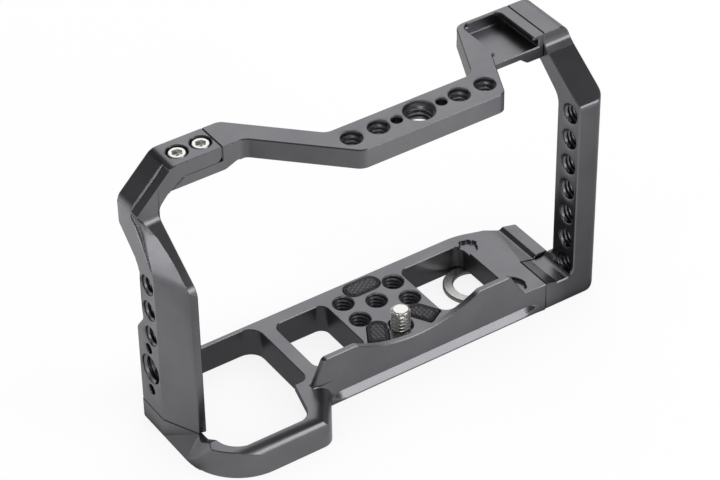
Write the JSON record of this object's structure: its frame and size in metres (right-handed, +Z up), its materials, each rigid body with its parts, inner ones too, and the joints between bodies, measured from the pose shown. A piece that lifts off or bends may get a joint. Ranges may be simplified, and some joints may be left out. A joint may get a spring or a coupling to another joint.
{
  "type": "camera cage",
  "caption": "Closed aluminium camera cage: base plate with grip loop and camera screw, two uprights and an offset top bar with a cold shoe.",
  "frame": {"origin": "the camera screw's axis where it crosses the camera's seating face", "axes": "+X along the camera's width, to the right as seen from in front of the lens; +Y away from the lens; +Z up along the camera screw"},
  "size_m": [0.1501, 0.0524, 0.0901],
  "materials": {
    "anodised": "bead-blasted, satin dark-grey anodised",
    "steel": "stainless steel, turned",
    "key_steel": "flat steel, brushed",
    "rubber": "moulded with a diamond knurl",
    "nylon": "natural nylon",
    "magnet": "nickel plated"
  },
  "bodies": {
    "frame": {"base_plate": "anodised", "left_upright": "anodised", "top_bar": "anodised", "right_upright": "anodised", "lap_screw_outer": "steel", "lap_screw_inner": "steel", "left_foot_screw_front": "steel", "left_foot_screw_rear": "steel", "right_foot_screw_front": "steel", "right_foot_screw_rear": "steel", "shoe_screw_front": "steel", "shoe_screw_rear": "steel", "snap_ring": "steel", "pad_rear": "rubber", "pad_left": "rubber", "pad_right": "rubber", "key_magnet_inner": "magnet", "key_magnet_outer": "magnet"},
    "washer": {"screw_washer": "nylon"},
    "screw": {"camera_screw": "steel"},
    "key": {"driver_key": "key_steel"}
  },
  "joints": [
    {"name": "screw_drop", "type": "slide", "parent": "frame", "child": "washer", "axis": [0, 0, 1], "range_m": [-0.0023, 0]},
    {"name": "screw_spin", "type": "hinge", "parent": "washer", "child": "screw", "pos_m": [0, 0, 0], "axis": [0, 0, 1], "continuous": true},
    {"name": "key_lift", "type": "slide", "parent": "frame", "child": "key", "axis": [0, 0, 1], "range_m": [-0.015, 0]}
  ]
}
